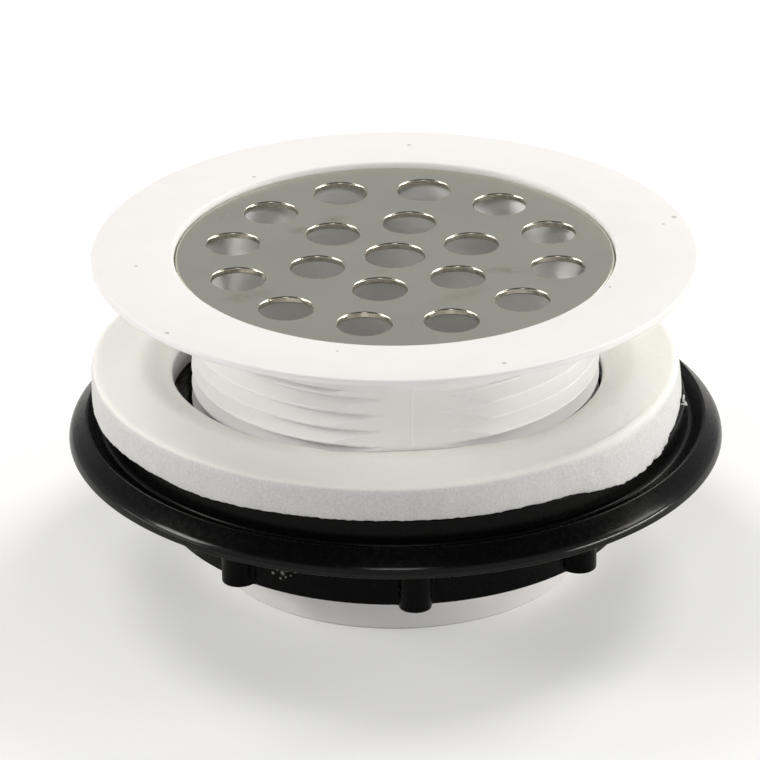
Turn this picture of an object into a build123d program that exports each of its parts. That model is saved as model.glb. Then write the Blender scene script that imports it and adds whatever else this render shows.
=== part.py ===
# Shower drain strainer: a flanged, threaded drain body with a perforated steel plate
# in its mouth, a foam gasket and a lugged lock nut that screws up under the shower floor.
# Millimetres. The origin is the centre of the tube's lower rim and +Z points up the drain.
from build123d import *
import math
import os

# Drain body: flange
flange_radius = 54.0
body_height = 58.5
flange_thickness = 2.0
flange_edge_thickness = 1.1
flange_edge_bevel = 2.5
flange_edge_rounding = 0.5
pocket_edge_rounding = 0.7

# Strainer plate and the pocket that it lies in
plate_radius = 39.1
plate_thickness = 1.2
plate_inset = 0.95
plate_clearance = 0.2
plate_edge_rounding = 0.45
seat_ledge = 3.9
hole_radius = 4.8
centre_hole_radius = 5.3
inner_ring_radius = 14.55
inner_ring_count = 6
outer_ring_radius = 29.3
outer_ring_count = 12
outer_ring_angle = -10.4

# Drain body: collar, neck, thread and plain tube end
collar_wall = 1.5
collar_height = 2.6
neck_length = 6.0
neck_wall = 2.7
funnel_height = 4.4
tube_end_length = 6.63
tube_end_step = 0.5
tube_wall = 3.1
tube_end_chamfer = 0.5

# Thread: eight turns to the inch, with two flats along the mould's parting line
thread_major_radius = 36.5
thread_pitch = 3.175
thread_depth = 2.5
thread_crest = 0.35
thread_root_gap = 0.2
cutter_overrun = 0.15
flat_depth = 0.35
flat_angle = -85.1
flat_count = 2

# Foam gasket, which lies loose on the nut and a little off centre
gasket_radius = 52.8
gasket_thickness = 6.4
gasket_hole_play = 2.5
gasket_shift = -1.6
gasket_edge_rounding = 0.6
gasket_gap = 0.1

# Lock nut: dished flange
nut_drop = 27.5
nut_height = 21.5
nut_seat_radius = 51.9
nut_seat_thickness = 3.1
seat_wall_draft = 0.4
seat_wall_thickness = 3.0
dish_depth = 5.85
dish_width = 2.9
rim_crest_drop = 3.55
rim_crest_width = 0.4
skirt_width = 3.1
skirt_drop = 3.1
rim_edge_height = 1.3
rim_edge_rounding = 0.6
seat_edge_rounding = 0.5

# Lock nut: hub, lugs and internal thread
hub_wall = 5.9
lug_count = 8
lug_radius = 2.9
lug_projection = 3.3
lug_angle = -85.5
lug_root_rounding = 0.6
hub_edge_rounding = 0.4
nut_crest = 0.35
nut_lead_in = 1.0
thread_play = 0.3

# Heights above the base
plate_top = body_height - plate_inset
seat_height = plate_top - plate_thickness
flange_underside = body_height - flange_thickness
collar_bottom = flange_underside - collar_height
thread_top = collar_bottom - neck_length
funnel_bottom = collar_bottom - funnel_height
nut_seat_height = body_height - nut_drop
nut_bottom = nut_seat_height - nut_height
nut_seat_underside = nut_seat_height - nut_seat_thickness
dish_floor = nut_seat_height - dish_depth
rim_crest_height = nut_seat_height - rim_crest_drop
rim_shoulder = rim_crest_height - skirt_drop
rim_bottom = rim_shoulder - rim_edge_height
gasket_bottom = nut_seat_height + gasket_gap

# Radii that follow from the driving sizes
pocket_radius = plate_radius + plate_clearance
seat_opening_radius = plate_radius - seat_ledge
collar_radius = pocket_radius + collar_wall
thread_root_radius = thread_major_radius - thread_depth
tube_end_radius = thread_root_radius - tube_end_step
bore_radius = tube_end_radius - tube_wall
neck_inner_radius = thread_major_radius - neck_wall
flat_distance = thread_root_radius - flat_depth
gasket_hole_radius = thread_major_radius + gasket_hole_play
hub_radius = thread_major_radius + hub_wall
lug_centre_radius = hub_radius + lug_projection - lug_radius
dish_radius = nut_seat_radius + seat_wall_draft
rim_crest_inner_radius = dish_radius + dish_width
rim_crest_radius = rim_crest_inner_radius + rim_crest_width
rim_radius = rim_crest_radius + skirt_width
recess_radius = dish_radius - seat_wall_thickness

# The inner ring's holes lie behind those of the outer ring
inner_ring_angle = outer_ring_angle + 360 / outer_ring_count

# Thread form: the flanks close in by this much for each millimetre outwards
flank_slope = (thread_pitch - thread_root_gap - thread_crest) / 2 / thread_depth
overrun_width = 2 * cutter_overrun * flank_slope
groove_radius = thread_major_radius + cutter_overrun
groove_width = thread_pitch - thread_crest + overrun_width
tap_radius = thread_major_radius + thread_play
tap_crest = thread_crest + 2 * thread_play * (1 - flank_slope)
tap_groove_radius = tap_radius + cutter_overrun
tap_groove_width = thread_pitch - tap_crest + overrun_width
nut_minor_radius = tap_radius - (thread_pitch - nut_crest - tap_crest) / 2 / flank_slope
tap_length = nut_height + 2 * thread_pitch
lead_in_radius = tap_radius + nut_lead_in
lead_in_depth = lead_in_radius - nut_minor_radius
crest_base = tube_end_length - thread_pitch
groove_base = crest_base + thread_pitch / 2


def helical_groove(inner_radius, inner_width, outer_radius, outer_width, low, high):
    """The bar of plastic that a right-hand thread leaves out, cut off at low and high."""
    first_turn = math.floor((low - groove_base) / thread_pitch) - 1
    last_turn = math.ceil((high - groove_base) / thread_pitch) + 1
    start = groove_base + first_turn * thread_pitch
    length = (last_turn - first_turn) * thread_pitch
    depth = outer_radius - inner_radius
    with BuildLine() as path:
        Helix(thread_pitch, length, inner_radius, center=(0, 0, start))
    with BuildSketch(Plane(path.line @ 0, x_dir=(1, 0, 0), z_dir=path.line % 0)) as form:
        with BuildLine():
            Polyline(
                (0, -inner_width / 2),
                (depth, -outer_width / 2),
                (depth, outer_width / 2),
                (0, inner_width / 2),
                close=True,
            )
        make_face()
    with BuildPart() as groove:
        sweep(form.sketch, path.line, is_frenet=True)
        with BuildSketch(Plane.XY.offset(low)):
            Circle(2 * outer_radius)
        extrude(amount=high - low, mode=Mode.INTERSECT)
    return groove.part


thread_groove = helical_groove(
    thread_root_radius,
    thread_root_gap,
    groove_radius,
    groove_width,
    tube_end_length - thread_pitch,
    thread_top,
)
tap_groove = helical_groove(
    nut_minor_radius,
    nut_crest,
    tap_groove_radius,
    tap_groove_width,
    nut_bottom - 2 * thread_pitch,
    nut_seat_height + 2 * thread_pitch,
)

# Drain body: one moulding, turned from its section
with BuildPart() as strainer_body:
    with BuildSketch(Plane.XZ) as body_section:
        with BuildLine():
            Polyline(
                (bore_radius, 0),
                (tube_end_radius - tube_end_chamfer, 0),
                (tube_end_radius, tube_end_chamfer),
                (tube_end_radius, tube_end_length),
                (thread_major_radius, tube_end_length),
                (thread_major_radius, collar_bottom),
                (collar_radius, collar_bottom),
                (collar_radius, flange_underside),
                (flange_radius - flange_edge_bevel, flange_underside),
                (flange_radius, body_height - flange_edge_thickness),
                (flange_radius, body_height),
                (pocket_radius, body_height),
                (pocket_radius, seat_height),
                (seat_opening_radius, seat_height),
                (neck_inner_radius, collar_bottom),
                (bore_radius, funnel_bottom),
                close=True,
            )
        make_face()
        face_corners = body_section.vertices().group_by(Axis.Y)[-1].sort_by(Axis.X)
        fillet(face_corners[0], pocket_edge_rounding)
        fillet(body_section.vertices().sort_by(Axis.X)[-1], flange_edge_rounding)
    revolve(axis=Axis.Z)
    add(thread_groove, mode=Mode.SUBTRACT)
    # The flats where the two halves of the mould part
    with BuildSketch(Plane.XY.offset(tube_end_length)):
        with PolarLocations(flat_distance + thread_depth, flat_count, flat_angle):
            Rectangle(2 * thread_depth, 2 * thread_major_radius)
    extrude(amount=thread_top - tube_end_length, mode=Mode.SUBTRACT)

# Strainer plate: a stamped disc with two rings of holes around a larger one
with BuildPart() as strainer_plate:
    with BuildSketch(Plane.XY.offset(seat_height)):
        Circle(plate_radius)
        Circle(centre_hole_radius, mode=Mode.SUBTRACT)
        with PolarLocations(inner_ring_radius, inner_ring_count, inner_ring_angle):
            Circle(hole_radius, mode=Mode.SUBTRACT)
        with PolarLocations(outer_ring_radius, outer_ring_count, outer_ring_angle):
            Circle(hole_radius, mode=Mode.SUBTRACT)
    extrude(amount=plate_thickness)
    plate_face = strainer_plate.faces().sort_by(Axis.Z)[-1]
    fillet(plate_face.outer_wire().edges(), plate_edge_rounding)

# Foam gasket: a flat ring cut from sheet
with BuildPart() as foam_gasket:
    with BuildSketch(Plane.XY.offset(gasket_bottom)):
        with Locations((gasket_shift, 0)):
            Circle(gasket_radius)
            Circle(gasket_hole_radius, mode=Mode.SUBTRACT)
    extrude(amount=gasket_thickness)
    fillet(foam_gasket.faces().sort_by(Axis.Z)[-1].edges(), gasket_edge_rounding)

# The tap that leaves the nut's thread: the body's thread, made larger by the play
with BuildPart() as nut_tap:
    with BuildSketch(Plane.XY.offset(nut_bottom - thread_pitch)):
        Circle(tap_radius)
    extrude(amount=tap_length)
    add(tap_groove, mode=Mode.SUBTRACT)

# Lock nut: a lugged hub under a dished flange, with the thread cut out of its middle
with BuildPart() as lock_nut:
    with BuildSketch(Plane.XY.offset(nut_bottom)) as hub_outline:
        Circle(hub_radius)
        with PolarLocations(lug_centre_radius, lug_count, lug_angle):
            Circle(lug_radius)
        fillet(hub_outline.vertices(), lug_root_rounding)
    extrude(amount=nut_seat_underside - nut_bottom)
    hub_foot = lock_nut.faces().sort_by(Axis.Z)[0]
    fillet(hub_foot.edges(), hub_edge_rounding)
    with BuildSketch(Plane.XZ) as flange_section:
        with BuildLine():
            Polyline(
                (0, nut_seat_underside),
                (0, nut_seat_height),
                (nut_seat_radius, nut_seat_height),
                (dish_radius, dish_floor),
                (rim_crest_inner_radius, rim_crest_height),
                (rim_crest_radius, rim_crest_height),
                (rim_radius, rim_shoulder),
                (rim_radius, rim_bottom),
                (recess_radius, rim_bottom),
                (recess_radius - seat_wall_draft, nut_seat_underside),
                close=True,
            )
        make_face()
        rim_corners = flange_section.vertices().group_by(Axis.X)[-1]
        fillet(rim_corners, rim_edge_rounding)
        seat_corner = flange_section.vertices().group_by(Axis.Y)[-1].sort_by(Axis.X)[-1]
        fillet(seat_corner, seat_edge_rounding)
    revolve(axis=Axis.Z)
    add(nut_tap.part, mode=Mode.SUBTRACT)
    # Lead-in bevels at both ends of the thread
    with BuildSketch(Plane.XZ):
        for end, inward in ((nut_bottom, 1), (nut_seat_height, -1)):
            with BuildLine():
                Polyline(
                    (0, end),
                    (lead_in_radius, end),
                    (nut_minor_radius, end + inward * lead_in_depth),
                    (0, end + inward * lead_in_depth),
                    close=True,
                )
            make_face()
    revolve(axis=Axis.Z, mode=Mode.SUBTRACT)

pieces = {
    "strainer_body": strainer_body,
    "strainer_plate": strainer_plate,
    "foam_gasket": foam_gasket,
    "lock_nut": lock_nut,
}
os.makedirs("parts", exist_ok=True)
for name, piece in pieces.items():
    piece.part.label = name
    export_step(piece.part, f"parts/{name}.step")
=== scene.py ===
import bmesh
import bpy
import math
from mathutils import Euler, Matrix, Vector, noise


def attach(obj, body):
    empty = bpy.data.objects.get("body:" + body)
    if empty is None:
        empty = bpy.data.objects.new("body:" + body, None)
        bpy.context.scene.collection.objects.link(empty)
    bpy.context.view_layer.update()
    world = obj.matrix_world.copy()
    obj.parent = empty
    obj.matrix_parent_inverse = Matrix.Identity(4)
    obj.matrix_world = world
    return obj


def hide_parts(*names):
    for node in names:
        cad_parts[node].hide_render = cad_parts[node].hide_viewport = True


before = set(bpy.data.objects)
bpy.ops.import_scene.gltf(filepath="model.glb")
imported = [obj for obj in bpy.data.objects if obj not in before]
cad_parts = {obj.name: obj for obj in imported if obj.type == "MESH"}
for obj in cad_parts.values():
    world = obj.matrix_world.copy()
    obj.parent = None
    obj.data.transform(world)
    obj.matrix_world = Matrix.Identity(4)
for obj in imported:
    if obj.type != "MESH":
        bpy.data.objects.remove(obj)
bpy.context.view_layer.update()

# Sizes in millimetres, as in the part's source
MM = 0.001
SHARP_EDGE = 35.0
COLUMN_STEP = 2.0

# Drain body
FLANGE_RADIUS = 54.0
BODY_HEIGHT = 58.5
FLANGE_UNDERSIDE = 56.5
EDGE_BEVEL_RADIUS = 51.5
EDGE_UNDERSIDE = 57.4
POCKET_RADIUS = 39.3
PLATE_SEAT = 56.35
SEAT_OPENING = 35.2
COLLAR_RADIUS = 40.8
COLLAR_BOTTOM = 53.9
NECK_BORE = 33.8
FUNNEL_BOTTOM = 49.5
BORE = 30.4
TUBE_RADIUS = 33.5
TUBE_CHAMFER = 0.5
TUBE_END = 6.63
FINE_FILLET = 0.15
SMALL_FILLET = 0.3
BODY_FILLET = 0.5
SEAT_FILLET = 0.2
BEVEL_FILLET = 0.4
FLANGE_TOP_FILLET = 0.65
POCKET_FILLET = 0.7
FUNNEL_FILLET = 0.8

# Thread
THREAD_TOP = 47.9
PITCH = 3.175
CREST_BASE = 3.455
MAJOR = 36.5
ROOT = 34.0
CREST = 0.35
ROOT_GAP = 0.2
CREST_WEAR = 0.14
FLANK = (PITCH - ROOT_GAP - CREST) / 2
FLANK_SLOPE = FLANK / (MAJOR - ROOT)
FLANK_PARTS = 5
ROW_MARGIN = 0.01
FLAT_DISTANCE = 33.65
FLAT_REACH = 52
PARTING_LINES = (-85.1, 94.9)
SEAM_HEIGHT = 0.05
SEAM_WIDTH = 0.22
FLAT_STEP = 0.6
FLAT_STEPS = 53
WALL_MARGIN = 0.1

# Strainer plate
PLATE_TOP = 57.55
PLATE_THICKNESS = 1.2
PLATE_RADIUS = 39.1
PLATE_ROUNDING = 0.45
HOLE_RADIUS = 4.8
HOLE_BEVEL = 0.28
CENTRE_HOLE_RADIUS = 5.3
INNER_RING = 14.55
OUTER_RING = 29.3
RING_ANGLE = -10.4
HOLE_SIDES = 48
CENTRE_HOLE_SIDES = 56
RIM_SIDES = 160
EDGE_STEPS = 6
EDGE_ARC = 0.999
WELD = 0.003
RIM_ZONE = 1.0
FLAT_NORMAL = 0.999
PLATE_SHARP_EDGE = 30.0
# How many holes each ring has, its radius and the direction of its first hole
HOLE_RINGS = ((6, INNER_RING, RING_ANGLE + 30), (12, OUTER_RING, RING_ANGLE))

# Foam gasket
FOAM_BOTTOM = 31.1
FOAM_TOP = 37.5
FOAM_RADIUS = 52.8
FOAM_HOLE = 39.0
FOAM_SHIFT = -1.6
FOAM_ROUNDING = 1.0
FOAM_FOOT = 1.0
FOAM_CELL = 0.45
FOAM_COLUMN_STEP = 0.5
FOAM_CUT_FILLET = 0.15
FOAM_HOLE_FILLET = 0.6
FOAM_SHARP_EDGE = 60.0

# Lock nut
NUT_BOTTOM = 9.5
NUT_TOP = 31.0
TAP = 36.8
TAP_CREST = 0.635
NUT_BORE = 34.71
NUT_CREST = 0.35
LEAD_IN = 37.8
HUB = 42.4
HUB_ROUNDING = 0.4
LUG_CENTRE = 42.8
LUG_RADIUS = 2.9
LUG_COUNT = 8
LUG_ANGLE = -85.5
LUG_ROOT = 0.5
LUG_TURN = 10
LUG_ROOT_STEP = 0.15
LUG_ROOT_STEPS = 5
SEAT_UNDERSIDE = 27.9
HUB_TOP = SEAT_UNDERSIDE - 0.3
FLANGE_START = HUB + 4.5
SEAT_INNER = LEAD_IN + 2.2
RECESS_RADIUS = 49.3
RIM_BOTTOM = 23.05
RIM_RADIUS = 58.7
RIM_SHOULDER = 24.35
CREST_OUTER = 55.6
CREST_INNER = 55.2
CREST_HEIGHT = 27.45
DISH_RADIUS = 52.3
DISH_FLOOR = 25.15
SEAT_RADIUS = 51.9
SEAT_DRAFT = 0.4
NUT_FILLET = 0.5
RECESS_FILLET = 0.4
RIM_UNDERSIDE_FILLET = 0.2
RIM_FILLET = 2.6
CREST_FILLET = 0.45
DISH_FILLET = 0.8
NUT_STEPS = 6


def turned(angle, centre):
    """The angle from centre in degrees, between -180 and 180."""
    return (math.degrees(angle) - centre + 180.0) % 360.0 - 180.0


def columns(step, centres=(), details=(0.0,)):
    """Angles round a turn, step degrees apart, with finer ones beside some directions."""
    found = {round(step * i, 4) for i in range(int(360 / step))}
    reach = max(abs(d) for d in details)
    for centre in centres:
        found = {a for a in found if abs((a - centre + 180) % 360 - 180) > reach}
        found |= {round((centre + d) % 360, 4) for d in details}
    return [math.radians(a) for a in sorted(found)]


def round_points(angle, r, z, middle=(0.0, 0.0)):
    return Vector((middle[0] + r * math.cos(angle), middle[1] + r * math.sin(angle), z)) * MM


def ring(bm, angles, radius, height, middle=(0.0, 0.0)):
    """A ring of vertices; radius and height are numbers or functions of the angle."""
    found = []
    for a in angles:
        r = radius(a) if callable(radius) else radius
        z = height(a) if callable(height) else height
        found.append(bm.verts.new(round_points(a, r, z, middle)))
    return found


def face(bm, corners):
    kept = []
    for v in corners:
        if v not in kept:
            kept.append(v)
    if len(kept) > 2:
        bm.faces.new(kept)


def skin(bm, rings):
    for lower, upper in zip(rings, rings[1:]):
        for i in range(len(lower)):
            j = (i + 1) % len(lower)
            face(bm, (lower[i], lower[j], upper[j], upper[i]))


def rounded(corners, steps=4):
    """A section of (radius, height, fillet) corners, with each fillet drawn as an arc."""
    points = []
    for i, (r, z, fillet) in enumerate(corners):
        if not fillet:
            points.append((r, z))
            continue
        here = Vector((r, z))
        back = (Vector(corners[i - 1][:2]) - here).normalized()
        ahead = (Vector(corners[i + 1][:2]) - here).normalized()
        half = back.angle(ahead) / 2
        centre = here + (back + ahead).normalized() * fillet / math.sin(half)
        start = here + back * fillet / math.tan(half) - centre
        end = here + ahead * fillet / math.tan(half) - centre
        for k in range(steps + 1):
            point = centre + start.slerp(end, k / steps).normalized() * fillet
            points.append((point.x, point.y))
    return points


def divided(points, step):
    """A closed section with extra points, so that no side is much longer than step."""
    found = []
    for (r0, z0), (r1, z1) in zip(points, points[1:] + points[:1]):
        parts = max(1, round(math.hypot(r1 - r0, z1 - z0) / step))
        found += [(r0 + (r1 - r0) * k / parts, z0 + (z1 - z0) * k / parts) for k in range(parts)]
    return found


def from_crest(angle, z):
    """How far a point lies above or below the nearest crest of the body's thread."""
    turns = (z - CREST_BASE) / PITCH - angle / math.tau
    return abs(turns - round(turns)) * PITCH


def helical_wall(bm, angles, offsets, radius, low_ring, high_ring, low, high):
    """Rows that climb one pitch a turn between two rings; offsets lie in one pitch."""
    count = len(offsets)
    first = (math.floor((low - CREST_BASE) / PITCH) - 2) * count
    last = (math.ceil((high - CREST_BASE) / PITCH) + 2) * count
    grid = []
    for i, a in enumerate(angles):
        rows = {}
        for k in range(first, last + 1):
            z = CREST_BASE + PITCH * (k // count + a / math.tau) + offsets[k % count]
            if z <= low + ROW_MARGIN:
                rows[k] = low_ring[i]
            elif z >= high - ROW_MARGIN:
                rows[k] = high_ring[i]
            else:
                rows[k] = bm.verts.new(round_points(a, radius(a, z), z))
        grid.append(rows)
    seam = {k: grid[0].get(k + count, high_ring[0]) for k in range(first, last + 1)}
    for left, right in zip(grid, grid[1:] + [seam]):
        for k in range(first, last):
            face(bm, (left[k], right[k], right[k + 1], left[k + 1]))


def piece_from(bm, name, body, materials, sharp=SHARP_EDGE):
    """Makes an object of the mesh, which rides on a body of the frame."""
    bmesh.ops.recalc_face_normals(bm, faces=bm.faces)
    mesh = bpy.data.meshes.new(name)
    bm.to_mesh(mesh)
    bm.free()
    mesh.shade_smooth()
    mesh.set_sharp_from_angle(angle=math.radians(sharp))
    for material in materials:
        mesh.materials.append(material)
    piece = bpy.data.objects.new(name, mesh)
    bpy.context.scene.collection.objects.link(piece)
    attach(piece, body)
    return piece


class Shader:
    """A material with one principled shader, and short calls for the nodes that vary it."""

    def __init__(self, name, colour, roughness, **values):
        self.material = bpy.data.materials.new(name)
        self.material.use_nodes = True
        self.tree = self.material.node_tree
        self.shader = self.tree.nodes["Principled BSDF"]
        self.shader.inputs["Base Color"].default_value = (*colour, 1)
        self.shader.inputs["Roughness"].default_value = roughness
        for key, value in values.items():
            self.shader.inputs[key.replace("_", " ")].default_value = value
        self.place = self.tree.nodes.new("ShaderNodeTexCoord").outputs["Object"]

    def node(self, kind, inputs=(), **settings):
        node = self.tree.nodes.new(kind)
        for key, value in settings.items():
            setattr(node, key, value)
        for key, value in dict(inputs).items():
            if isinstance(value, bpy.types.NodeSocket):
                self.tree.links.new(value, node.inputs[key])
            else:
                node.inputs[key].default_value = value
        return node

    def noise(self, scale, detail=4.0, place=None):
        inputs = {"Vector": place or self.place, "Scale": scale, "Detail": detail}
        return self.node("ShaderNodeTexNoise", inputs).outputs["Fac"]

    def ramp(self, value, low, high, start=0.0, end=1.0):
        inputs = {"Value": value, "From Min": low, "From Max": high, "To Min": start, "To Max": end}
        return self.node("ShaderNodeMapRange", inputs).outputs["Result"]

    def between(self, amount, first, last):
        """A number that goes from first to last as the amount goes from 0 to 1."""
        return self.ramp(amount, 0.0, 1.0, first, last)

    def math(self, operation, first, second):
        return self.node("ShaderNodeMath", {0: first, 1: second}, operation=operation).outputs[0]

    def mix(self, amount, first, second):
        """Blends two colours, each a tuple or a socket."""
        inputs = {0: amount}
        for index, colour in ((6, first), (7, second)):
            inputs[index] = (*colour, 1) if isinstance(colour, tuple) else colour
        return self.node("ShaderNodeMix", inputs, data_type="RGBA").outputs[2]

    def near(self, point, inner, outer):
        """1 at the inner distance from a point and 0 at the outer one, all in millimetres."""
        inputs = {0: self.place, 1: Vector(point) * MM}
        node = self.node("ShaderNodeVectorMath", inputs, operation="DISTANCE")
        return self.ramp(node.outputs["Value"], outer * MM, inner * MM)

    def feed(self, key, socket):
        self.tree.links.new(socket, self.shader.inputs[key])

    def bump(self, height, strength, distance):
        inputs = {"Height": height, "Strength": strength, "Distance": distance * MM}
        self.feed("Normal", self.node("ShaderNodeBump", inputs).outputs["Normal"])


# Specks on the body and on the nut, each with a direction in degrees, a radius, a height and a size
DIRT = (
    (86.8, 47.5, BODY_HEIGHT, 0.3),
    (127.9, 41.7, BODY_HEIGHT, 0.35),
    (-172.2, 46.2, BODY_HEIGHT, 0.3),
    (-138.9, 52.2, BODY_HEIGHT, 0.4),
    (-68.4, 50.5, BODY_HEIGHT, 0.4),
    (15.8, 52.2, BODY_HEIGHT, 0.4),
    (13.0, 49.4, BODY_HEIGHT, 0.3),
    (-22.9, 40.9, BODY_HEIGHT, 0.25),
    (-103.4, 43.1, BODY_HEIGHT, 0.25),
    (-121.2, 35.6, 46.8, 0.25),
    (-59.2, 36.5, 52.2, 0.25),
)
DUST = (
    (-118.0, HUB, 13.4, 0.35),
    (-117.2, HUB, 12.8, 0.2),
    (-116.9, HUB, 14.2, 0.25),
    (-119.4, HUB, 13.8, 0.2),
    (-120.6, HUB, 13.0, 0.25),
    (-115.8, HUB, 13.3, 0.15),
    (-118.6, HUB, 12.3, 0.2),
    (-114.6, HUB, 14.1, 0.15),
)


def specks(made, places):
    """1 on each speck and 0 elsewhere, with edges made uneven by a fine noise."""
    ragged = made.noise(scale=2500, detail=2.0)
    found = None
    for azimuth, radius, height, size in places:
        a = math.radians(azimuth)
        point = (radius * math.cos(a), radius * math.sin(a), height)
        spot = made.near(point, 0.0, 2 * size)
        found = made.math("MAXIMUM", found, spot) if found else spot
    return made.ramp(made.math("MULTIPLY", found, ragged), 0.15, 0.3)


WHITE = (0.93, 0.918, 0.912)
WHITE_CLOUD = (0.915, 0.903, 0.897)
DIRT_COLOUR = (0.6, 0.55, 0.5)


def white_plastic():
    """Moulded white plastic, a little uneven in gloss and with a few specks of dirt."""
    made = Shader("white_plastic", (0.89, 0.88, 0.875), 0.38)
    clouds = made.ramp(made.noise(scale=160), 0.4, 0.7)
    clean = made.mix(clouds, WHITE, WHITE_CLOUD)
    made.feed("Base Color", made.mix(specks(made, DIRT), clean, DIRT_COLOUR))
    made.feed("Roughness", made.ramp(made.noise(scale=420), 0.3, 0.7, 0.32, 0.45))
    made.bump(made.noise(scale=2600, detail=2.0), strength=0.06, distance=0.04)
    return made.material


# Wiped marks on the plate: a place, a direction in degrees, a length and a width
SMEARS = (
    (11.5, -17.0, 32, 7.0, 2.2),
    (19.6, -6.6, -6, 6.0, 2.0),
    (-10.9, 16.0, 10, 3.0, 2.0),
    (-2.5, -6.5, 0, 2.0, 1.2),
    (-17.0, 11.0, 20, 3.0, 2.0),
    (-26.0, -17.0, 25, 6.0, 3.0),
)
SMEAR_STRENGTH = 0.7
STEEL = (0.58, 0.567, 0.478)
STEEL_CLOUD = (0.55, 0.537, 0.448)
SMEAR_COLOUR = (0.4, 0.385, 0.285)


def smeared(made):
    """1 in the middle of each smear, falling to 0 at its edge."""
    marks = None
    for x, y, angle, length, width in SMEARS:
        place = (x * MM, y * MM, PLATE_TOP * MM)
        turn = (0, 0, math.radians(angle))
        size = (length * MM, width * MM, 1)
        shift = {"Vector": made.place, "Location": place, "Rotation": turn, "Scale": size}
        across = made.node("ShaderNodeMapping", shift, vector_type="TEXTURE").outputs["Vector"]
        away = made.node("ShaderNodeVectorMath", {0: across}, operation="LENGTH").outputs["Value"]
        smear = made.ramp(away, 1.0, 0.1)
        marks = made.math("MAXIMUM", marks, smear) if marks else smear
    return marks


def plate_steel():
    """Satin steel sheet with wiped smudges."""
    made = Shader("satin_steel", (0.57, 0.555, 0.465), 0.3, Metallic=1.0)
    clouds = made.ramp(made.noise(scale=70), 0.35, 0.75)
    sheet = made.mix(clouds, STEEL, STEEL_CLOUD)
    patches = made.ramp(made.noise(scale=420, detail=3.0), 0.3, 0.62)
    patchy = made.math("MULTIPLY", smeared(made), patches)
    dirty = made.math("MULTIPLY", patchy, SMEAR_STRENGTH)
    made.feed("Base Color", made.mix(dirty, sheet, SMEAR_COLOUR))
    made.feed("Roughness", made.ramp(made.noise(scale=90), 0.3, 0.7, 0.27, 0.33))
    return made.material


PUNCHED = (0.62, 0.59, 0.5)
SCRATCHED = (0.5, 0.47, 0.4)


def punched_steel():
    """The bright walls that the punch left in the holes, with fine scratches down them."""
    made = Shader("punched_steel", (0.58, 0.55, 0.47), 0.16, Metallic=1.0)
    grain = {"Vector": made.place, "Scale": (1.0, 1.0, 0.08)}
    drawn_out = made.node("ShaderNodeMapping", grain).outputs["Vector"]
    scratches = made.noise(scale=3500, detail=2.0, place=drawn_out)
    made.feed("Base Color", made.mix(made.ramp(scratches, 0.35, 0.65), PUNCHED, SCRATCHED))
    made.bump(scratches, strength=0.12, distance=0.02)
    return made.material


# The cut sides' colours are darker and cooler than the skin's: partly the cut cells' own tone, partly
# painted shade for sides that the lamps light less than the top
FOAM_SKIN = (0.95, 0.945, 0.89)
FOAM_SKIN_CELLS = (0.92, 0.915, 0.86)
FOAM_CUT_SIDE_SHADE = (0.72, 0.72, 0.71)
FOAM_CUT_SIDE_SHADE_CELLS = (0.62, 0.62, 0.612)


def white_foam():
    """Closed-cell foam: a smooth skin on top, and open cells where it was cut; the sides also carry
    painted shade, a darker and cooler colour than the top.
    """
    made = Shader("white_foam", (0.86, 0.855, 0.8), 0.9, Subsurface_Weight=0.5, Subsurface_Scale=0.0022)
    made.shader.inputs["Subsurface Radius"].default_value = (1.0, 1.0, 0.95)
    cells = made.ramp(made.noise(scale=2400, detail=3.0), 0.35, 0.7)
    skin_colour = made.mix(cells, FOAM_SKIN, FOAM_SKIN_CELLS)
    cut_side_shade = made.mix(cells, FOAM_CUT_SIDE_SHADE, FOAM_CUT_SIDE_SHADE_CELLS)
    facing = made.tree.nodes.new("ShaderNodeTexCoord").outputs["Normal"]
    level = made.node("ShaderNodeSeparateXYZ", {0: facing}).outputs["Z"]
    # Faces that point up take the skin's colour and the sides the darker cut colour: painted shade on
    # the sides, on top of the cut surface's own tone
    skin_and_lit_top = made.ramp(level, 0.45, 0.8)
    made.feed("Base Color", made.mix(skin_and_lit_top, cut_side_shade, skin_colour))
    made.bump(made.noise(scale=3000, detail=3.0), strength=0.3, distance=0.2)
    return made.material


BLACK = (0.002, 0.0021, 0.002)
DUST_COLOUR = (0.2, 0.2, 0.19)


def black_plastic():
    """Black plastic with a fine grain and a little dust; the rim's edge is smoother than the rest."""
    made = Shader("black_plastic", BLACK, 0.26, Specular_IOR_Level=0.11)
    made.feed("Base Color", made.mix(specks(made, DUST), BLACK, DUST_COLOUR))
    edge = made.near((0, 0, RIM_SHOULDER), RIM_RADIUS - 0.3, RIM_RADIUS - 1.3)
    rough = made.ramp(made.noise(scale=900), 0.3, 0.7, 0.2, 0.32)
    made.feed("Roughness", made.math("MULTIPLY", rough, made.between(edge, 1.0, 0.6)))
    made.feed("Specular IOR Level", made.between(edge, 0.11, 0.28))
    made.bump(made.noise(scale=3200, detail=2.0), strength=made.between(edge, 0.2, 0.04), distance=0.05)
    return made.material


white = white_plastic()
foam = white_foam()
black = black_plastic()


# Drain body
def seam(angle):
    """Height of the fine line where the mould's halves met."""
    near = min(abs(turned(angle, line)) for line in PARTING_LINES)
    return SEAM_HEIGHT * max(0.0, 1.0 - near / SEAM_WIDTH)


def tooth(angle, z):
    """The thread's radius, with its crests a little worn and its flats at the parting lines."""
    away = from_crest(angle, z)
    r = max(ROOT, MAJOR - max(0.0, away - CREST / 2) / FLANK_SLOPE)
    if away < CREST:
        r = min(r, MAJOR - CREST_WEAR * (away / CREST) ** 2)
    for line in PARTING_LINES:
        beside = turned(angle, line)
        if abs(beside) < FLAT_REACH:
            r = min(r, FLAT_DISTANCE / math.cos(math.radians(beside)) + seam(angle))
    return r


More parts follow.
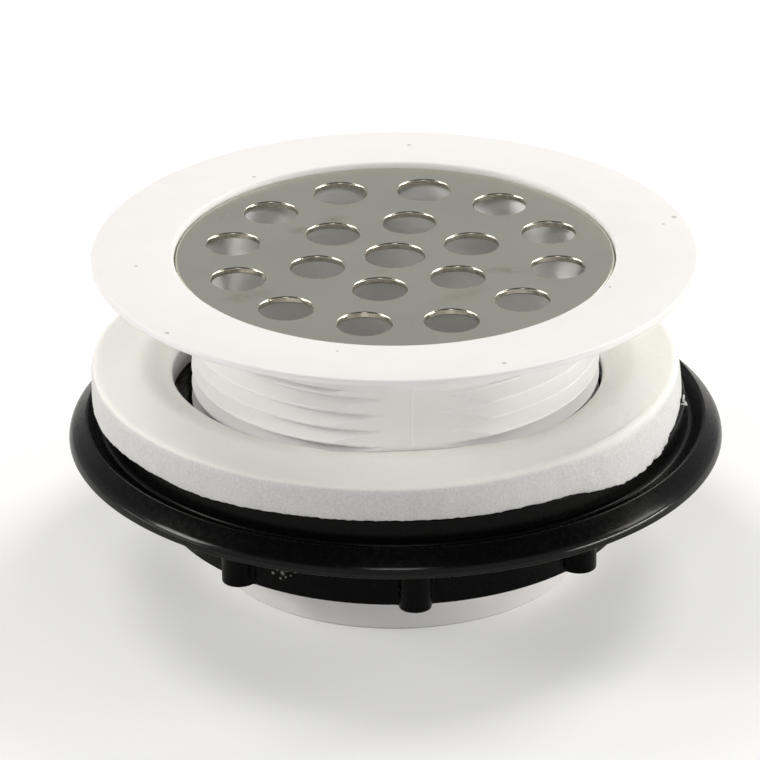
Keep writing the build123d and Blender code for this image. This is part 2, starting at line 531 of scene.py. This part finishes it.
def body_section():
    """From the top of the thread over the flange, down the bore and up to the thread's foot."""
    return rounded([
        (MAJOR, THREAD_TOP, 0),
        (MAJOR, COLLAR_BOTTOM, BODY_FILLET),
        (COLLAR_RADIUS, COLLAR_BOTTOM, SMALL_FILLET),
        (COLLAR_RADIUS, FLANGE_UNDERSIDE, BODY_FILLET),
        (EDGE_BEVEL_RADIUS, FLANGE_UNDERSIDE, BEVEL_FILLET),
        (FLANGE_RADIUS, EDGE_UNDERSIDE, SMALL_FILLET),
        (FLANGE_RADIUS, BODY_HEIGHT, FLANGE_TOP_FILLET),
        (POCKET_RADIUS, BODY_HEIGHT, POCKET_FILLET),
        (POCKET_RADIUS, PLATE_SEAT, FINE_FILLET),
        (SEAT_OPENING, PLATE_SEAT, SEAT_FILLET),
        (NECK_BORE, COLLAR_BOTTOM, BODY_FILLET),
        (BORE, FUNNEL_BOTTOM, FUNNEL_FILLET),
        (BORE, 0, SMALL_FILLET),
        (TUBE_RADIUS - TUBE_CHAMFER, 0, FINE_FILLET),
        (TUBE_RADIUS, TUBE_CHAMFER, FINE_FILLET),
        (TUBE_RADIUS, TUBE_END, 0),
    ])


def body_columns():
    """Angles round the body, closer together on the flats and at the parting lines."""
    flat_steps = [FLAT_STEP * i for i in range(-FLAT_STEPS, FLAT_STEPS + 1)]
    seam_steps = [SEAM_WIDTH * i / 2 for i in (-2, -1, 1, 2)]
    return columns(COLUMN_STEP, PARTING_LINES, flat_steps + seam_steps)


def carries_seam(r, z):
    """Whether a point is near the tube's outer radius, off the thread and below the collar."""
    near_wall = TUBE_RADIUS - WALL_MARGIN < r < MAJOR + WALL_MARGIN
    return near_wall and (z < TUBE_END or THREAD_TOP < z < COLLAR_BOTTOM)


def thread_rows():
    """Offsets of one pitch's rows from the crest in its middle."""
    flank = [CREST / 2 + FLANK * i / FLANK_PARTS for i in range(FLANK_PARTS + 1)]
    return [-x for x in reversed(flank)] + [-CREST / 4, 0.0, CREST / 4] + flank


def drain_moulding():
    angles = body_columns()
    bm = bmesh.new()
    low_ring = ring(bm, angles, lambda a: tooth(a, TUBE_END), TUBE_END)
    high_ring = ring(bm, angles, lambda a: tooth(a, THREAD_TOP), THREAD_TOP)
    rings = [high_ring]
    for r, z in body_section():
        radius = (lambda a, r=r: r + seam(a)) if carries_seam(r, z) else r
        rings.append(ring(bm, angles, radius, z))
    skin(bm, rings + [low_ring])
    helical_wall(bm, angles, thread_rows(), tooth, low_ring, high_ring, TUBE_END, THREAD_TOP)
    piece = piece_from(bm, "drain_moulding", "drain_body", [white])
    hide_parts("strainer_body")


drain_moulding()


# Strainer plate, punched from sheet
def plate_circles():
    """Centre, radius and number of sides of each hole."""
    found = [(0.0, 0.0, CENTRE_HOLE_RADIUS, CENTRE_HOLE_SIDES)]
    for count, distance, start in HOLE_RINGS:
        for i in range(count):
            a = math.radians(start + 360 * i / count)
            found.append((distance * math.cos(a), distance * math.sin(a), HOLE_RADIUS, HOLE_SIDES))
    return found


def circle_angles(sides):
    return [math.tau * i / sides for i in range(sides)]


def flat_cap(bm, circles, height):
    """A flat face bounded by the first circle, with the others cut out of it."""
    outline = bpy.data.curves.new("cap", "CURVE")
    outline.dimensions = "2D"
    outline.fill_mode = "BOTH"
    for x, y, r, sides in circles:
        spline = outline.splines.new("POLY")
        spline.points.add(sides - 1)
        spline.use_cyclic_u = True
        for point, a in zip(spline.points, circle_angles(sides)):
            point.co = (*round_points(a, r, 0, (x, y)), 1)
    drawn = bpy.data.objects.new("cap", outline)
    bpy.context.scene.collection.objects.link(drawn)
    mesh = bpy.data.meshes.new_from_object(drawn)
    bpy.data.objects.remove(drawn)
    mesh.transform(Matrix.Translation((0, 0, height * MM)))
    bm.from_mesh(mesh)
    bpy.data.meshes.remove(mesh)


def edge_wall(bm, x, y, r, sides, outward):
    """The wall of a hole or of the rim, with its edges broken by outward millimetres."""
    low, high = PLATE_TOP - PLATE_THICKNESS, PLATE_TOP
    reach = abs(outward)
    corners = [
        (r + outward, low, 0),
        (r, low + reach, 0),
        (r, high, reach * EDGE_ARC),
        (r + outward * 3, high, 0),
    ]
    # The last corner is only there to give the arc its direction
    section = rounded(corners, EDGE_STEPS)[:-1]
    angles = circle_angles(sides)
    skin(bm, [ring(bm, angles, wr, wz, (x, y)) for wr, wz in section])


def punched_plate():
    holes = plate_circles()
    caps = [(0.0, 0.0, PLATE_RADIUS - PLATE_ROUNDING, RIM_SIDES)]
    caps += [(x, y, r + HOLE_BEVEL, sides) for x, y, r, sides in holes]
    bm = bmesh.new()
    for height in (PLATE_TOP - PLATE_THICKNESS, PLATE_TOP):
        flat_cap(bm, caps, height)
    for x, y, r, sides in holes:
        edge_wall(bm, x, y, r, sides, HOLE_BEVEL)
    edge_wall(bm, 0.0, 0.0, PLATE_RADIUS, RIM_SIDES, -PLATE_ROUNDING)
    bmesh.ops.remove_doubles(bm, verts=bm.verts, dist=WELD * MM)
    steels = [plate_steel(), punched_steel()]
    piece = piece_from(bm, "punched_plate", "drain_body", steels, PLATE_SHARP_EDGE)
    for polygon in piece.data.polygons:
        flat = abs(polygon.normal.z) > FLAT_NORMAL
        polygon.use_smooth = not flat
        inside = polygon.center.xy.length < (PLATE_RADIUS - RIM_ZONE) * MM
        polygon.material_index = int(inside and not flat)
    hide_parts("strainer_plate")


punched_plate()


# Foam gasket: cut from sheet, with a torn lower edge that sags and bulges over the nut's seat.
# Each bump has a direction and a width in degrees, and a size in millimetres.
SAGS = ((-165, 20, 0.7), (-127, 12, 0.5), (-58, 16, 0.7), (-38, 9, 1.4), (-24, 10, 1.1))
BULGES = ((-40, 11, 1.6), (-25, 10, 0.9))
TATTERS = ((-25, 35, 0.35),)
LEANS = ((-40, 42, 1.3),)
LEAN_REACH = 6.0
HOLE_GAPS = ((-178, 36, 3.3), (-8, 25, 0.5))
HOLE_FIT = 0.12
HOLE_SAG = 1.9
HOLE_SAG_REACH = 6.0
HOLE_LIFTS = ((-60, 10, 0.8), (-110, 10, 0.7))

# Pits in the foam's face, each with a direction, a radius, a width and a depth
DENTS = ((-26, 44.5, 1.0, 0.3), (-33, 50.0, 0.8, 0.35), (-30, 48.6, 0.7, 0.25))

# How rough the foam's edge, face and lower lip are
EDGE_ZONE = 1.2
FINE_ROUGHNESS = 0.06
COARSE_ROUGHNESS = 0.12
BULGE_POWER = 1.3
LEAN_FADE = 1.3
TEAR_HEIGHT = 1.2
TEAR_DEPTH = 0.1
FACE_ZONE = 0.2
FACE_WAVES = 0.06
LIP_WIDTH = 0.6
LIP_RAGGED = 0.16
LIP_LIFT = 0.15


def swell(angle, bumps):
    return sum(size * math.exp(-(turned(angle, centre) / width) ** 2) for centre, width, size in bumps)


def grain(angle, r, z, scale, seed):
    place = Vector((r * math.cos(angle), r * math.sin(angle), z))
    return noise.noise(place * scale + Vector((seed, 0, 0)))


def foam_depth(z):
    """0 at the foam's upper face and 1 at its lower one."""
    return (FOAM_TOP - z) / (FOAM_TOP - FOAM_BOTTOM)


def hugged(angle):
    """The foam's inner radius about its own centre: it clings to the tube and its flats."""
    found = FOAM_HOLE
    for _ in range(3):
        seen = math.atan2(found * math.sin(angle), FOAM_SHIFT + found * math.cos(angle))
        tube = MAJOR
        for line in PARTING_LINES:
            beside = turned(seen, line)
            if abs(beside) < FLAT_REACH:
                tube = min(tube, FLAT_DISTANCE / math.cos(math.radians(beside)) + SEAM_HEIGHT)
        reach = tube + HOLE_FIT + swell(seen, HOLE_GAPS)
        across = FOAM_SHIFT * math.sin(angle)
        found = math.sqrt(reach ** 2 - across ** 2) - FOAM_SHIFT * math.cos(angle)
    return found


def foam_radius(angle, r, z):
    """The radius at which a point of the plain section lies on the worn foam."""
    inner = hugged(angle)
    r = inner + (r - FOAM_HOLE) * (FOAM_RADIUS - inner) / (FOAM_RADIUS - FOAM_HOLE)
    if r < FOAM_RADIUS - LEAN_REACH:
        return r
    if r < FOAM_RADIUS - EDGE_ZONE:
        return r - swell(angle, LEANS) * ((r - FOAM_RADIUS + LEAN_REACH) / LEAN_REACH) ** 2
    rough = FINE_ROUGHNESS * grain(angle, r, z, 1.6, 0) + COARSE_ROUGHNESS * grain(angle, r, z, 0.35, 9)
    depth = foam_depth(z)
    bulge = max(0.0, depth) ** BULGE_POWER * swell(angle, BULGES)
    lean = max(0.0, 1 - LEAN_FADE * depth) ** 2 * swell(angle, LEANS)
    torn = max(0.0, 1 - (z - FOAM_BOTTOM) / TEAR_HEIGHT) * max(0.0, grain(angle, r, z, 0.9, 30))
    return r + rough + bulge - lean - (TEAR_DEPTH + swell(angle, TATTERS)) * torn


def hole_sag(angle, r, z):
    """How far the foam is drawn down beside the tube."""
    near = max(0.0, min(1.0, 1 - (r - FOAM_HOLE) / HOLE_SAG_REACH))
    deepest = HOLE_SAG - swell(angle, HOLE_LIFTS)
    return deepest * near * near * (3 - 2 * near) * (1 - foam_depth(z))


def dents(angle, r):
    """How deep the small pits in the foam's face are at a place."""
    depth = 0.0
    for centre, distance, width, deepest in DENTS:
        across = math.radians(turned(angle, centre)) * distance
        depth += deepest * math.exp(-((across / width) ** 2) - ((r - distance) / (0.5 * width)) ** 2)
    return depth


def foam_height(angle, r, z):
    """The height at which a point of the plain section lies on the worn foam."""
    if z > FOAM_TOP - FACE_ZONE:
        waves = FACE_WAVES * abs(grain(angle, r, z, 0.3, 70))
        return z - hole_sag(angle, r, z) - waves - dents(angle, r)
    if r < FOAM_HOLE + EDGE_ZONE:
        return z - hole_sag(angle, r, z)
    out = foam_radius(angle, r, z) + FOAM_SHIFT * math.cos(angle) - SEAT_RADIUS
    lip = max(0.0, min(1.0, out / LIP_WIDTH))
    torn = LIP_RAGGED + swell(angle, TATTERS)
    ragged = torn * grain(angle, r, z, 1.1, 50) + LIP_LIFT - swell(angle, SAGS)
    return z + max(0.0, foam_depth(z)) ** 3 * lip * ragged


def foam_ring():
    angles = columns(FOAM_COLUMN_STEP)
    corners = rounded([
        (FOAM_RADIUS - FOAM_FOOT, FOAM_BOTTOM, 0),
        (FOAM_RADIUS, FOAM_BOTTOM, FOAM_CUT_FILLET),
        (FOAM_RADIUS, FOAM_TOP, FOAM_ROUNDING),
        (FOAM_HOLE, FOAM_TOP, FOAM_HOLE_FILLET),
        (FOAM_HOLE, FOAM_BOTTOM, 0),
    ], 3)
    bm = bmesh.new()
    rings = []
    for r, z in divided(corners, FOAM_CELL):
        rings.append(ring(
            bm,
            angles,
            lambda a, r=r, z=z: foam_radius(a, r, z),
            lambda a, r=r, z=z: foam_height(a, r, z),
            (FOAM_SHIFT, 0.0),
        ))
    skin(bm, rings + rings[:1])
    piece = piece_from(bm, "foam_ring", "gasket", [foam], FOAM_SHARP_EDGE)
    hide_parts("foam_gasket")


foam_ring()


# Splinters of the crumb between foam and nut, each from one point to another
CRUMB_Y = -6.6
SPLINTERS = (
    ((51.45, CRUMB_Y, 32.95), (51.4, CRUMB_Y, 31.6)),
    ((51.0, CRUMB_Y, 31.2), (52.1, CRUMB_Y, 31.0)),
    ((51.5, CRUMB_Y, 31.8), (52.0, CRUMB_Y, 31.1)),
)
SPLINTER_THICKNESS = 0.2
SPLINTER_PARTS = 4
SPLINTER_SIDES = 6


def splinter(bm, start, end):
    """A torn splinter of foam, thickest in its middle."""
    start, end = Vector(start), Vector(end)
    turn = (end - start).to_track_quat("Z", "Y")
    loops = []
    for k in range(SPLINTER_PARTS + 1):
        along = k / SPLINTER_PARTS
        wide = SPLINTER_THICKNESS * (0.45 + 0.55 * math.sin(math.pi * (0.15 + 0.7 * along)))
        loop = []
        for i in range(SPLINTER_SIDES):
            a = math.tau * i / SPLINTER_SIDES
            r = wide * (1 + 0.35 * noise.noise(Vector((3 * k, 2 * i, start.y))))
            point = start.lerp(end, along) + turn @ Vector((r * math.cos(a), r * math.sin(a), 0))
            loop.append(bm.verts.new(point * MM))
        loops.append(loop)
    skin(bm, loops)
    for loop in (loops[0], loops[-1]):
        bm.faces.new(loop)


def foam_crumb():
    """The crumb that clings to the torn edge at the right."""
    bm = bmesh.new()
    for start, end in SPLINTERS:
        splinter(bm, start, end)
    piece_from(bm, "foam_crumb", "gasket", [foam])


foam_crumb()


# Lock nut
def hub(angle, inset=0.0):
    """The hub's outline, with its half-round lugs."""
    step = 360.0 / LUG_COUNT
    beside = math.radians((math.degrees(angle) - LUG_ANGLE + step / 2) % step - step / 2)
    across = abs(LUG_CENTRE * math.sin(beside))
    if across < LUG_RADIUS:
        return LUG_CENTRE * math.cos(beside) + math.sqrt(LUG_RADIUS ** 2 - across ** 2) - inset
    rest = min(1.0, (across - LUG_RADIUS) / LUG_ROOT)
    return HUB + (LUG_CENTRE - HUB) * (1 - rest) ** 2 - inset


def tapped(angle, z):
    """The radius of the nut's thread, opened out at both ends."""
    r = TAP - max(0.0, from_crest(angle, z) - TAP_CREST / 2) / FLANK_SLOPE
    lead_in = LEAD_IN - min(z - NUT_BOTTOM, NUT_TOP - z)
    return max(r, lead_in, NUT_BORE)


def nut_flange():
    """From the underside beside the hub, round the rim and over the dish to the seat."""
    return rounded([
        (FLANGE_START, SEAT_UNDERSIDE, 0),
        (RECESS_RADIUS - SEAT_DRAFT, SEAT_UNDERSIDE, NUT_FILLET),
        (RECESS_RADIUS, RIM_BOTTOM, RECESS_FILLET),
        (RIM_RADIUS, RIM_BOTTOM, RIM_UNDERSIDE_FILLET),
        (RIM_RADIUS, RIM_SHOULDER, RIM_FILLET),
        (CREST_OUTER, CREST_HEIGHT, CREST_FILLET),
        (CREST_INNER, CREST_HEIGHT, CREST_FILLET),
        (DISH_RADIUS, DISH_FLOOR, DISH_FILLET),
        (SEAT_RADIUS, NUT_TOP, NUT_FILLET),
        (SEAT_INNER, NUT_TOP, 0),
    ], NUT_STEPS)


def nut_columns():
    """Angles round the nut, closer together on the lugs and at their roots."""
    lugs = [LUG_ANGLE + 360.0 * i / LUG_COUNT for i in range(LUG_COUNT)]
    edge = math.degrees(math.asin(LUG_RADIUS / LUG_CENTRE))
    beside = [edge * math.sin(math.radians(turn)) for turn in range(0, 100, LUG_TURN)]
    beside += [edge + LUG_ROOT_STEP * i for i in range(1, LUG_ROOT_STEPS + 1)]
    return columns(COLUMN_STEP, lugs, [-x for x in beside] + beside)


def tapped_rows():
    """Offsets of one pitch's rows from the groove in its middle."""
    root, foot = TAP_CREST / 2, (PITCH - NUT_CREST) / 2
    flank = [root, (root + foot) / 2, foot]
    return [-PITCH / 2] + [-x for x in reversed(flank)] + flank


def screwed_nut():
    angles = nut_columns()
    bm = bmesh.new()
    low_ring = ring(bm, angles, LEAD_IN, NUT_BOTTOM)
    high_ring = ring(bm, angles, LEAD_IN, NUT_TOP)
    rings = [low_ring]
    for k in range(4):
        turn = math.pi / 2 * k / 3
        inset = HUB_ROUNDING * (1 - math.sin(turn))
        height = NUT_BOTTOM + HUB_ROUNDING * (1 - math.cos(turn))
        rings.append(ring(bm, angles, lambda a, inset=inset: hub(a, inset), height))
    rings.append(ring(bm, angles, hub, HUB_TOP))
    rings += [ring(bm, angles, r, z) for r, z in nut_flange()]
    skin(bm, rings + [high_ring])
    helical_wall(bm, angles, tapped_rows(), tapped, low_ring, high_ring, NUT_BOTTOM, NUT_TOP)
    piece = piece_from(bm, "screwed_nut", "nut", [black])
    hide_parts("lock_nut")


screwed_nut()


# Floor, in metres; the camera sees it a little brighter than it is, and its shadow stays
FLOOR_RADIUS = 4.0
FLOOR_SIDES = 64
FLOOR_COLOUR = (0.74, 0.74, 0.74)
FLOOR_LIFT = 0.3


def pale_floor():
    bm = bmesh.new()
    bmesh.ops.create_circle(bm, cap_ends=True, segments=FLOOR_SIDES, radius=FLOOR_RADIUS)
    mesh = bpy.data.meshes.new("floor")
    bm.to_mesh(mesh)
    bm.free()
    made = Shader("pale_floor", FLOOR_COLOUR, 0.9)
    path = made.node("ShaderNodeLightPath")
    made.shader.inputs["Emission Color"].default_value = (1, 1, 1, 1)
    made.feed("Emission Strength", made.math("MULTIPLY", path.outputs["Is Camera Ray"], FLOOR_LIFT))
    mesh.materials.append(made.material)
    floor = bpy.data.objects.new("floor", mesh)
    bpy.context.scene.collection.objects.link(floor)


pale_floor()


# Lights: each has a direction in degrees, a size in metres and a power in watts
LAMP_DISTANCE = 1.2
LAMP_TARGET = Vector((0, 0, 0.04))
WARM = (1.0, 0.985, 0.93)


def softbox(name, azimuth, elevation, width, height, power):
    lamp = bpy.data.lights.new(name, "AREA")
    lamp.shape = "RECTANGLE"
    lamp.size = width
    lamp.size_y = height
    lamp.energy = power
    lamp.color = WARM
    way = Vector((LAMP_DISTANCE, 0, 0))
    way.rotate(Euler((0, -math.radians(elevation), math.radians(azimuth))))
    holder = bpy.data.objects.new(name, lamp)
    holder.location = LAMP_TARGET + way
    holder.rotation_euler = (-way).to_track_quat("-Z", "Y").to_euler()
    bpy.context.scene.collection.objects.link(holder)


softbox("left_side", 190, 25, 0.4, 0.3, 4.6)
softbox("right_side", 4, 25, 0.4, 0.3, 2.4)
softbox("left_low", 186, 6, 0.8, 0.08, 0.8)
softbox("right_low", -9, 6, 0.9, 0.06, 5.0)
softbox("front", -90, 42, 0.3, 0.2, 1.2)
softbox("left_back", 133, 49, 0.5, 0.5, 5.0)
softbox("right_back", 50, 45, 0.5, 0.5, 6.6)


# The room: grey walls below a dark ceiling, told apart by how steeply a ray climbs
ROOM_COLOUR = (0.975, 0.965, 1.0)
WALL_LIGHT = 0.52
CEILING_LIGHT = 0.06
CEILING_START = 0.42
CEILING_END = 0.7


def studio():
    world = bpy.data.worlds.new("studio")
    bpy.context.scene.world = world
    world.use_nodes = True
    tree = world.node_tree
    place = tree.nodes.new("ShaderNodeTexCoord")
    parts = tree.nodes.new("ShaderNodeSeparateXYZ")
    tree.links.new(place.outputs["Generated"], parts.inputs[0])
    fade = tree.nodes.new("ShaderNodeMapRange")
    fade.interpolation_type = "SMOOTHSTEP"
    tree.links.new(parts.outputs["Z"], fade.inputs["Value"])
    fade.inputs["From Min"].default_value = CEILING_START
    fade.inputs["From Max"].default_value = CEILING_END
    fade.inputs["To Min"].default_value = WALL_LIGHT
    fade.inputs["To Max"].default_value = CEILING_LIGHT
    light = tree.nodes["Background"]
    light.inputs["Color"].default_value = (*ROOM_COLOUR, 1)
    tree.links.new(fade.outputs["Result"], light.inputs["Strength"])


studio()


# The camera looks at the plate's centre, turned so that this falls at the photograph's place
IMAGE = 760
FOCAL_PIXELS = 6190.0
PLATE_PIXEL = (394.84, 255.39)
CAMERA_DISTANCE = 1.1
CAMERA_RISE = math.radians(24.28)
CAMERA_ROLL = math.radians(0.22)
SENSOR = 36.0


def photo_camera():
    right = Vector((1, 0, 0))
    up = Vector((0, math.sin(CAMERA_RISE), math.cos(CAMERA_RISE)))
    sight = Vector((0, math.cos(CAMERA_RISE), -math.sin(CAMERA_RISE)))
    turn = Matrix.Rotation(CAMERA_ROLL, 3, sight)
    pose = Matrix((turn @ right, turn @ up, -sight)).transposed()
    aim = Vector((PLATE_PIXEL[0] - IMAGE / 2, IMAGE / 2 - PLATE_PIXEL[1], -FOCAL_PIXELS)).normalized()
    swing = aim.rotation_difference(Vector((0, 0, -1))).to_matrix()
    camera = bpy.data.cameras.new("camera")
    camera.sensor_width = SENSOR
    camera.lens = FOCAL_PIXELS * SENSOR / IMAGE
    holder = bpy.data.objects.new("camera", camera)
    place = Vector((0, 0, PLATE_TOP * MM)) - sight * CAMERA_DISTANCE
    holder.matrix_world = Matrix.Translation(place) @ (pose @ swing).to_4x4()
    bpy.context.scene.collection.objects.link(holder)
    bpy.context.scene.camera = holder


photo_camera()
bpy.context.scene.view_settings.view_transform = "Standard"
